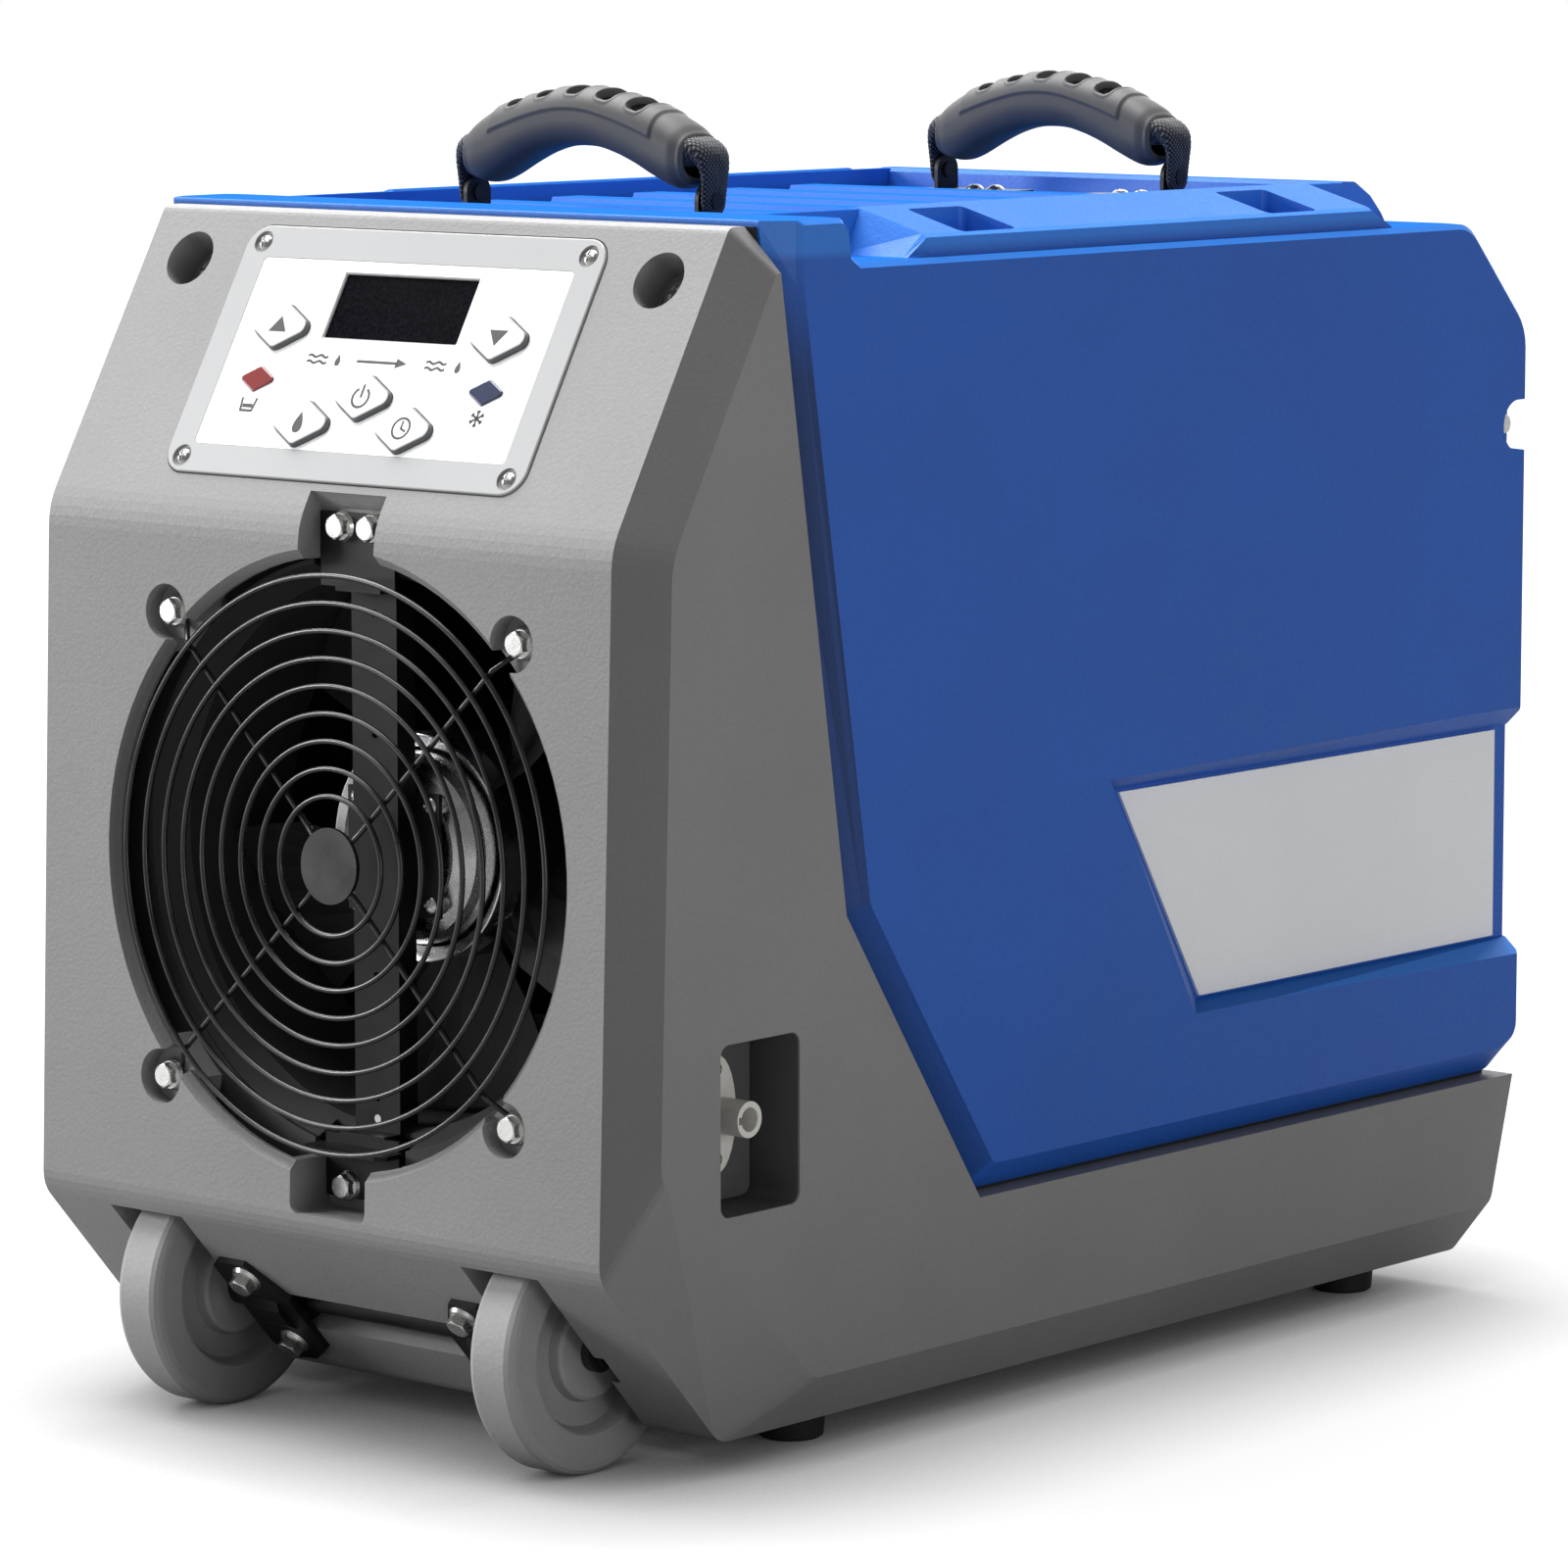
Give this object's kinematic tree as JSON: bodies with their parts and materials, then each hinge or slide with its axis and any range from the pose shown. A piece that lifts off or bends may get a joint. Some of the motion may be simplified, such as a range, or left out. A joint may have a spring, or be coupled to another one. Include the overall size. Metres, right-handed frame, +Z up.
{
  "type": "portable dehumidifier",
  "caption": "Portable commercial dehumidifier with a grey front and base, blue cover, round guarded fan outlet, control panel, transport wheels and webbing carry handles.",
  "frame": {"origin": "on the floor, at the centre of the case's footprint", "axes": "+Z up; -Y is the front, where the fan outlet and the control panel are; +X is to the right when facing the front"},
  "size_m": [0.3746, 0.6674, 0.5943],
  "materials": {
    "grey_case": "leather-textured rotomoulded polyethylene",
    "blue_case": "leather-textured rotomoulded polyethylene",
    "black_plastic": "fine matt moulding",
    "black_rubber": "matt",
    "grip_rubber": "soft-touch matt",
    "wheel_plastic": "matt, lightly pebbled",
    "badge": "satin light grey",
    "panel_plate": "satin light grey",
    "panel_label": "satin white film",
    "display": "dark window",
    "button": "satin off-white",
    "lamp_red": "translucent red",
    "lamp_blue": "translucent blue",
    "zinc": "bright zinc plated",
    "black_steel": "black powder coat",
    "webbing": "woven black webbing",
    "pcb": "green board",
    "motor": "black stove paint",
    "rotor": "machined rim, black blades",
    "fins": "bare fin stock",
    "galvanised": "galvanised sheet",
    "compressor_paint": "black enamel",
    "copper": "bare copper",
    "pump_plastic": "grey moulding",
    "hose": "milky flexible tube",
    "nylon": "natural nylon",
    "filter": "pleated non-woven"
  },
  "bodies": {
    "case": {"axle_bolts": "zinc", "axle_brackets": "black_steel", "axle_clips": "black_plastic", "badge_plates": "badge", "base_plate": "galvanised", "bracket_bolts": "zinc", "case_gasket": "black_rubber", "circuit_board": "pcb", "coil_end_plates": "galvanised", "compressor": "compressor_paint", "compressor_bolts": "zinc", "compressor_grommets": "black_rubber", "condensate_pump": "pump_plastic", "condenser_coil": "fins", "control_box": "galvanised", "control_panel_plate": "panel_plate", "cover_bolts": "zinc", "display_window": "display", "drain_fitting": "nylon", "drain_hose": "hose", "drain_pan": "black_plastic", "drain_plate": "black_plastic", "drain_screws": "zinc", "evaporator_coil": "fins", "fan_bracket": "black_steel", "fan_guard": "black_steel", "fan_motor_stator": "motor", "fan_shroud": "black_plastic", "front_housing": "grey_case", "guard_bolts": "zinc", "housing_screws": "zinc", "indicator_defrost": "lamp_blue", "indicator_full": "lamp_red", "intake_frame": "black_plastic", "motor_screws": "zinc", "panel_overlay": "panel_label", "panel_screws": "zinc", "power_inlet": "black_plastic", "rear_screws": "zinc", "refrigerant_lines": "copper", "rubber_feet": "black_rubber", "strap_plates": "black_steel", "strap_rivets": "black_steel", "strap_screws": "zinc", "top_cover": "blue_case", "wheel_axle": "black_steel"},
    "fan_rotor": {"fan_impeller": "rotor"},
    "right_wheel": {"wheel_right": "wheel_plastic"},
    "left_wheel": {"wheel_left": "wheel_plastic"},
    "up_button": {"button_up": "button"},
    "down_button": {"button_down": "button"},
    "power_button": {"button_power": "button"},
    "purge_button": {"button_purge": "button"},
    "timer_button": {"button_timer": "button"},
    "front_handle": {"handle_strap_front": "webbing", "handle_grip_front": "grip_rubber"},
    "rear_handle": {"handle_strap_rear": "webbing", "handle_grip_rear": "grip_rubber"},
    "filter": {"filter_cassette": "black_plastic", "filter_media": "filter"}
  },
  "joints": [
    {"name": "fan_spin", "type": "hinge", "parent": "case", "child": "fan_rotor", "pos_m": [0.0095, -0.2508, 0.264], "axis": [0, 1, 0], "continuous": true},
    {"name": "right_wheel_spin", "type": "hinge", "parent": "case", "child": "right_wheel", "pos_m": [0.1079, -0.2787, 0.055], "axis": [1, 0, 0], "continuous": true},
    {"name": "left_wheel_spin", "type": "hinge", "parent": "case", "child": "left_wheel", "pos_m": [-0.1079, -0.2787, 0.055], "axis": [1, 0, 0], "continuous": true},
    {"name": "up_press", "type": "slide", "parent": "case", "child": "up_button", "axis": [0, 0.8677, -0.4971], "range_m": [0, 0.0012]},
    {"name": "down_press", "type": "slide", "parent": "case", "child": "down_button", "axis": [0, 0.8677, -0.4971], "range_m": [0, 0.0012]},
    {"name": "power_press", "type": "slide", "parent": "case", "child": "power_button", "axis": [0, 0.8677, -0.4971], "range_m": [0, 0.0012]},
    {"name": "purge_press", "type": "slide", "parent": "case", "child": "purge_button", "axis": [0, 0.8677, -0.4971], "range_m": [0, 0.0012]},
    {"name": "timer_press", "type": "slide", "parent": "case", "child": "timer_button", "axis": [0, 0.8677, -0.4971], "range_m": [0, 0.0012]},
    {"name": "front_handle_tilt", "type": "hinge", "parent": "case", "child": "front_handle", "pos_m": [0, -0.1448, 0.546], "axis": [1, 0, 0], "range_deg": [-30, 30]},
    {"name": "rear_handle_tilt", "type": "hinge", "parent": "case", "child": "rear_handle", "pos_m": [0, 0.1962, 0.546], "axis": [1, 0, 0], "range_deg": [-30, 30]},
    {"name": "filter_pull", "type": "slide", "parent": "case", "child": "filter", "axis": [0, 1, 0], "range_m": [0, 0.06]}
  ]
}
